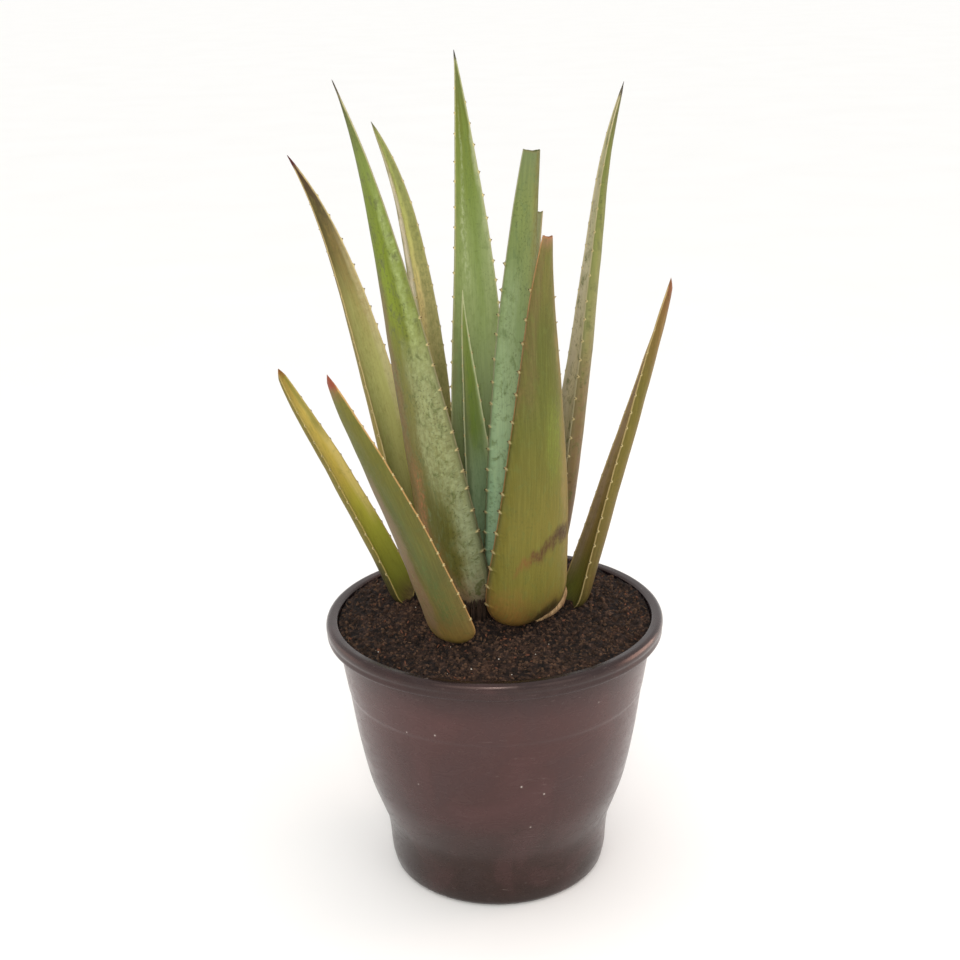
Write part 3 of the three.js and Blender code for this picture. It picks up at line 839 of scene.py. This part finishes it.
def pot_profile():
    """The pot's section from the axis under its floor, over the rim, to the axis inside."""
    segments = cut_by_plane(triangles_of("pot"), (0, 1e-6, 0), (0, 1, 0))
    segments = segments[(segments[:, :, 0] > -1e-6).all(1)][:, :, [0, 2]]
    segments = segments[np.linalg.norm(segments[:, 0] - segments[:, 1], axis=1) > 1e-6]
    ends = segments.reshape(-1, 2)
    outline = [ends[(ends[:, 0] + 5 * ends[:, 1]).argmin()]]
    left = list(segments)
    while left:
        gaps = [np.linalg.norm(s - outline[-1], axis=1) for s in left]
        nearest = np.argmin([g.min() for g in gaps])
        segment, gap = left.pop(nearest), gaps[nearest]
        outline.append(segment[1] if gap[0] < gap[1] else segment[0])
    return without_straights(np.array(outline))


def without_straights(outline):
    kept = [outline[0]]
    for here, after in zip(outline[1:-1], outline[2:]):
        one, two = here - kept[-1], after - here
        turn = abs(one[0] * two[1] - one[1] * two[0])
        if turn > 1e-3 * np.linalg.norm(one) * max(np.linalg.norm(two), 1e-9):
            kept.append(here)
    return np.array([*kept, outline[-1]])


def rounded(outline, longest, steps=5):
    """The outline with each corner replaced by a short curve."""
    found = [outline[0]]
    for before, corner, after in zip(outline[:-2], outline[1:-1], outline[2:]):
        back, ahead = before - corner, after - corner
        reach = min(0.45 * np.linalg.norm(back), 0.45 * np.linalg.norm(ahead), longest)
        start = corner + unit(back) * reach
        stop = corner + unit(ahead) * reach
        for t in np.linspace(0, 1, steps):
            found.append((1 - t) ** 2 * start + 2 * t * (1 - t) * corner + t**2 * stop)
    return np.array([*found, outline[-1]])


def filled_in(outline, longest):
    """The outline with points added where two are further apart than longest."""
    found = [outline[0]]
    for before, after in zip(outline[:-1], outline[1:]):
        steps = max(1, math.ceil(np.linalg.norm(after - before) / longest))
        found.extend(before + (after - before) * (i + 1) / steps for i in range(steps))
    return np.array(found)


def lathe(profile, segments):
    """Points and faces of a profile turned about Z, its two ends on the axis."""
    angles = np.arange(segments) * 2 * math.pi / segments
    rings = profile[1:-1]
    around = rings[:, None, :1] * np.stack([np.cos(angles), np.sin(angles)], -1)
    heights = np.broadcast_to(rings[:, None, 1:], (len(rings), segments, 1))
    points = np.concatenate([around, heights], -1).reshape(-1, 3)
    faces = tube_faces(len(rings), segments)[:-2]
    ends = [(0, 0, profile[0][1]), (0, 0, profile[-1][1])]
    points = np.vstack([points, ends])
    last = (len(rings) - 1) * segments
    for j in range(segments):
        beside = (j + 1) % segments
        faces.append((len(points) - 2, beside, j))
        faces.append((len(points) - 1, last + j, last + beside))
    return points, faces


def add_pot():
    profile = filled_in(rounded(pot_profile(), POT_ROUNDING), POT_RING_STEP)
    points, faces = lathe(profile, POT_SEGMENTS)
    made = piece("pot_shell", points, faces, plastic_material())
    drill_holes(made)
    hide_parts("pot")


def drain_hole_centres():
    """Centres and radius of the CAD floor's holes, from the corners round them."""
    corners = triangles_of("pot").reshape(-1, 3)
    radius = np.linalg.norm(corners[:, :2], axis=1)
    nearest, furthest = HOLES_WITHIN
    on_floor = (corners[:, 2] < 1e-5) & (radius > nearest) & (radius < furthest)
    angle = np.arctan2(corners[on_floor, 1], corners[on_floor, 0])
    first = np.angle(np.exp(1j * angle * POT_HOLES).mean()) / POT_HOLES
    nearest, furthest = radius[on_floor].min(), radius[on_floor].max()
    turns = first + np.arange(POT_HOLES) * 2 * math.pi / POT_HOLES
    centres = (nearest + furthest) / 2 * np.stack([np.cos(turns), np.sin(turns)], -1)
    return centres, (furthest - nearest) / 2


def drill_holes(pot):
    centres, size = drain_hole_centres()
    drill = bmesh.new()
    shape = {"cap_ends": True, "segments": 40, "radius1": size, "radius2": size, "depth": 20 * MM}
    for x, y in centres:
        bmesh.ops.create_cone(drill, matrix=Matrix.Translation((x, y, 0)), **shape)
    mesh = bpy.data.meshes.new("drill")
    drill.to_mesh(mesh)
    drill.free()
    tool = added("drill", mesh)
    boolean = pot.modifiers.new("drain_holes", "BOOLEAN")
    boolean.operation = "DIFFERENCE"
    boolean.solver = "EXACT"
    boolean.object = tool
    bpy.context.view_layer.update()
    drilled = bpy.data.meshes.new_from_object(pot.evaluated_get(bpy.context.evaluated_depsgraph_get()))
    pot.modifiers.clear()
    pot.data = drilled
    bpy.data.objects.remove(tool)
    drilled.set_sharp_from_angle(angle=POT_SHARP_ANGLE)


# ---- Soil ----


class SoilTop:
    """Height of the soil's surface anywhere in the pot, smooth over the leaves' pockets."""

    def __init__(self):
        triangles = triangles_of("soil")
        faces = [(3 * i, 3 * i + 1, 3 * i + 2) for i in range(len(triangles))]
        tree = BVHTree.FromPolygons(triangles.reshape(-1, 3).tolist(), faces)
        self.low, self.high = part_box("soil")
        self.radius = np.linalg.norm(triangles[..., :2], axis=-1).max()
        found = []
        for radius in np.linspace(0.004, self.radius - 0.003, 22):
            for angle in np.linspace(0, 2 * math.pi, 64, endpoint=False):
                x, y = radius * math.cos(angle), radius * math.sin(angle)
                hit = tree.ray_cast(Vector((x, y, 1.0)), Vector((0, 0, -1)))[0]
                if hit is not None and hit.z > self.high.z - POCKET_DEPTH:
                    found.append((x, y, hit.z))
        self.samples = np.array(found)

    def at(self, x, y):
        """Smooth height at arrays of places, by distance-weighted neighbours."""
        flat_x, flat_y = np.ravel(x), np.ravel(y)
        height = np.empty(len(flat_x))
        for start in range(0, len(flat_x), CHUNK):
            part = slice(start, start + CHUNK)
            gap = (flat_x[part, None] - self.samples[:, 0]) ** 2
            gap += (flat_y[part, None] - self.samples[:, 1]) ** 2
            weight = np.exp(-gap / (2 * SOIL_BLEND**2)) + 1e-12 / (gap + 1e-6)
            height[part] = (weight * self.samples[:, 2]).sum(1) / weight.sum(1)
        return height.reshape(np.shape(x))


def lumpy(x, y):
    """Crumbly unevenness of the soil's surface, in metres."""
    clods = noise.fractal(Vector((x * 70, y * 70, 3.1)), 1.0, 2.1, 4)
    pebbles = noise.noise(Vector((x * 240, y * 240, 9.0)))
    grains = noise.noise(Vector((x * 520, y * 520, 4.0)))
    return (1.9 * clods + 1.9 * pebbles + grains - 0.5) * MM


def add_soil(top):
    """The fill of the pot: a crumbly top, and sides that follow the CAD solid."""
    radii = top.radius * np.linspace(0, 1, SOIL_RINGS)[1:] ** 0.8
    angles = np.arange(SOIL_SEGMENTS) * 2 * math.pi / SOIL_SEGMENTS
    cosines, sines = np.cos(angles), np.sin(angles)
    x, y = radii[:, None] * cosines, radii[:, None] * sines
    z = top.at(x, y)
    for i, j in np.ndindex(z.shape):
        z[i, j] += lumpy(x[i, j], y[i, j])
    triangles = triangles_of("soil")
    sides = []
    for level in np.linspace(z[-1].min() - 4 * MM, top.low.z + 0.5 * MM, 12):
        outline = cut_by_plane(triangles, (0, 0, level), (0, 0, 1))
        radius = np.linalg.norm(outline[..., :2], axis=-1).max()
        sides.append(np.stack([radius * cosines, radius * sines, np.full(SOIL_SEGMENTS, level)], -1))
    every = np.concatenate([np.stack([x, y, z], -1), np.array(sides)])
    faces = tube_faces(*every.shape[:2])
    faces.pop(-2)  # the flat face over the top
    points = np.vstack([every.reshape(-1, 3), (0, 0, top.at([0], [0])[0])])
    for j in range(SOIL_SEGMENTS):
        faces.append((len(points) - 1, j, (j + 1) % SOIL_SEGMENTS))
    made = piece("soil_fill", points, faces, soil_material("soil_fill"))
    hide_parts("soil")


def rough_ball(random):
    """Points and faces of a ball with dents, about 2 units across."""
    ball = bmesh.new()
    bmesh.ops.create_icosphere(ball, subdivisions=1, radius=1.0)
    points = np.array([v.co for v in ball.verts])
    faces = np.array([[v.index for v in f.verts] for f in ball.faces])
    ball.free()
    return points * random.uniform(0.72, 1.15, (len(points), 1)), faces


def scattered(shapes, places, sizes, random, stretch):
    """Points and faces of many small bodies, each a turned copy of one of the shapes."""
    points, faces, count = [], [], 0
    for number, (place, size) in enumerate(zip(places, sizes)):
        shape, shape_faces = shapes[number % len(shapes)]
        turn = np.linalg.qr(random.normal(size=(3, 3)))[0]
        body = (shape * np.array(stretch) * size * random.uniform(0.6, 1.1, 3)) @ turn
        points.append(body + place)
        faces.append(shape_faces + count)
        count += len(shape)
    return np.vstack(points), np.vstack(faces).tolist()


def soil_places(top, count, random):
    radius = top.radius * SCATTER_REACH * np.sqrt(random.uniform(0, 1, count))
    angle = random.uniform(0, 2 * math.pi, count)
    x, y = radius * np.cos(angle), radius * np.sin(angle)
    z = top.at(x, y) + np.array([lumpy(a, b) for a, b in zip(x, y)])
    return np.stack([x, y, z], -1)


def add_litter(top):
    """Crumbs, clods, bark chips, perlite grains and fibres, strewn over the soil."""
    random = np.random.default_rng(SEED)
    shapes = [rough_ball(random) for _ in range(12)]
    more = [rough_ball(random) for _ in range(6)]
    places = soil_places(top, CRUMBS, random)
    sizes = np.clip(0.95 * MM * random.lognormal(0.1, 0.5, CRUMBS), 0.5 * MM, 3.2 * MM)
    points, faces = scattered(shapes + more, places, sizes, random, (1, 1, 1))
    piece("soil_crumbs", points, faces, soil_material("soil_crumb", 0.1))

    # Name, count, smallest and largest size in millimetres, stretch and material.
    for name, count, least, most, stretch, material in (
        ("soil_clods", 1500, 0.8, 2.2, (1, 1, 1), soil_material("soil_clod", 0.3)),
        ("soil_bark", 260, 0.9, 2.4, (1.6, 0.8, 0.35), bark_material("soil_bark", "4a2c20", "8a5a42")),
        ("soil_perlite", 34, 0.4, 1.0, (1, 1, 1), perlite_material()),
        ("soil_fibres", 150, 2.0, 5.5, (1.3, 0.07, 0.07), bark_material("soil_fibre", "4c3626", "94765a")),
    ):
        places = soil_places(top, count, random)
        sizes = random.uniform(least, most, count) * MM
        points, faces = scattered(shapes, places, sizes, random, stretch)
        piece(name, points, faces, material)


# ---- Crown ----


def add_crown():
    """The clasped stem: an oval stub with upright fibres and a ragged top."""
    low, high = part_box("crown")
    centre = (low + high) / 2
    half = (high - low) / 2
    rings = []
    for share in np.linspace(0, 1, CROWN_RINGS):
        ring = []
        for angle in np.arange(CROWN_COLUMNS) * 2 * math.pi / CROWN_COLUMNS:
            x, y = math.cos(angle), math.sin(angle)
            ridge = noise.noise(Vector((x * 14, y * 14, share * 1.5)))
            flake = noise.noise(Vector((x * 40, y * 40, share * 4)))
            reach = (1.0 - 0.1 * share**4) * (0.95 + 0.035 * ridge + 0.015 * flake)
            rag = CROWN_RAG * noise.noise(Vector((x * 26, y * 26, 7))) * share**6
            z = low.z + (high.z - CROWN_RAG - 0.1 * MM - low.z) * share + rag
            ring.append((centre.x + half.x * reach * x, centre.y + half.y * reach * y, z))
        rings.append(ring)
    last = np.array(rings[-1])
    middle = last.mean(0)
    for inset, drop in ((0.9, 2), (0.7, 4), (0.4, 3), (0.15, 4)):
        rings.append(middle + (last - middle) * inset - (0, 0, drop * MM))
    made = tube("crown_stub", rings, bark_material("crown_bark", "241812", "5c4634"))
    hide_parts("crown")


def add_crown_fibres(top):
    """Ragged fibres of old leaf bases, upright round the foot of the tall front leaf."""
    random = np.random.default_rng(SEED + 40)
    leaf = measured_leaf("leaf_front_tall")
    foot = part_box("leaf_front_tall")[0].z
    middle, _, across, inward, width = station_at(leaf, foot + 20 * MM)
    points, faces = [], []
    for _ in range(FIBRES):
        a = random.uniform(-1.05, 0.4)
        out = outer_depth(leaf, a) * width + random.uniform(0.3, 3.8) * MM
        root = middle + across * a * width / 2 - inward * out
        ground = top.at(root[:1], root[1:2])[0]
        tall = random.uniform(0.62, 1.0) * FIBRE_HEIGHT
        thick = random.uniform(0.35, 1.1) * MM
        lean = across * random.normal(0, 0.8 * MM) + inward * random.uniform(0, 1.6) * MM
        count = len(points)
        for share, size in ((0.0, 1.0), (0.5, 0.9), (0.85, 0.7), (1.0, 0.25)):
            z = ground - 3 * MM + (tall + 3 * MM) * share
            centre = np.array([root[0], root[1], z]) + lean * share**2
            for x, y in ((-1, -0.4), (1, -0.4), (1, 0.4), (-1, 0.4)):
                points.append(centre + (across * x + inward * y) * thick * size)
        faces.extend(tuple(count + i for i in face) for face in tube_faces(4, 4))
    piece("crown_fibres", points, faces, bark_material("crown_fibre", "140d0a", "5a4536"))


def add_sheath():
    """A thin dry strip of an old leaf base, curved round one side of a front leaf's foot."""
    leaf = measured_leaf("leaf_front_cut")
    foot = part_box("leaf_front_cut")[0].z
    rings = []
    for share in np.linspace(0, 1, 26):
        height = foot + SHEATH_TOP * (1 - share) ** 1.5 + 2.5 * MM
        middle, along, across, inward, width = station_at(leaf, height)
        a = -1.02 + 0.72 * share**1.3
        out = outer_depth(leaf, a) * width + SHEATH_GAP
        centre = middle + across * a * width / 2 - inward * out
        half = SHEATH_WIDTH / 2 * math.sin(math.pi * (0.12 + 0.82 * share)) ** 0.7
        sway = 0.5 * MM * noise.noise(Vector((share * 9, 2.0, 5.0)))
        ring = []
        for x, y in ((-1, 0.25), (0, 0.55), (1, 0.25), (1, -0.25), (0, 0.05), (-1, -0.25)):
            offset = across * (x * half * 0.8 + sway) + along * x * half * 0.5 - inward * y * MM
            ring.append(centre + offset)
        rings.append(ring)
    tube("crown_sheath", rings, bark_material("crown_sheath", "6e5438", "b89a70"))


# ---- Camera, light and floor ----


def add_camera():
    camera = bpy.data.cameras.new("camera")
    camera.lens = CAMERA_LENS
    camera.sensor_width = 36
    camera.clip_end = 200
    made = added("camera", camera)
    turn = Matrix.Rotation(math.pi / 2 - CAMERA_PITCH, 4, "X") @ Matrix.Rotation(-CAMERA_ROLL, 4, "Z")
    made.matrix_world = Matrix.Translation(CAMERA_PLACE) @ turn
    bpy.context.scene.camera = made


def add_light(name, place, size, power, colour="ffffff"):
    light = bpy.data.lights.new(name, "AREA")
    light.shape = "DISK"
    light.size = size
    light.energy = power
    light.color = srgb(colour)[:3]
    made = added(name, light)
    target = (CAD_LOW + CAD_HIGH) / 2
    made.location = place
    made.rotation_euler = (target - Vector(place)).to_track_quat("-Z", "Y").to_euler()


def add_stage():
    graph = Graph("floor")
    soft = graph.noise(3.0)
    graph.colour = graph.mix(soft, FLOOR_COLOUR, "f6f5f2")
    material = graph.finish(0.9, 0.2, (soft, 0.01))
    half = FLOOR_SIZE / 2
    mesh = bpy.data.meshes.new("floor")
    corners = [(-half, -half, 0), (half, -half, 0), (half, half, 0), (-half, half, 0)]
    mesh.from_pydata(corners, [], [(0, 1, 2, 3)])
    mesh.materials.append(material)
    floor = added("floor", mesh)
    floor.location.z = CAD_LOW.z

    world = bpy.data.worlds.new("studio")
    world.use_nodes = True
    background = world.node_tree.nodes["Background"].inputs
    background["Color"].default_value = srgb("ffffff")
    background["Strength"].default_value = WORLD_STRENGTH
    bpy.context.scene.world = world
    add_light("key", (-0.7, -1.9, 1.2), 1.2, 6, "fff8f0")
    add_light("fill", (1.3, -1.5, 0.9), 1.2, 3.5, "fffaf4")
    add_light("flash", (0.0, -1.5, 0.95), 0.35, 7)
    add_light("left_side", (-1.4, 0.45, 0.3), 0.9, 1.5, "ffd8c8")
    add_light("right_side", (1.4, 0.35, 0.3), 0.9, 8.5, "ffd8c8")
    overhead = bpy.data.lights.new("overhead", "SUN")
    overhead.angle = math.radians(70)
    overhead.energy = 0.25
    added("overhead", overhead)
    bpy.context.scene.view_settings.view_transform = "Standard"


# ---- Assembly ----

add_camera()
add_stage()
for leaf_number, (leaf_node, leaf_look) in enumerate(LOOKS.items()):
    add_leaf(leaf_node, leaf_look, leaf_number)
add_pot()
soil_top = SoilTop()
add_soil(soil_top)
add_litter(soil_top)
add_crown()
add_crown_fibres(soil_top)
add_sheath()
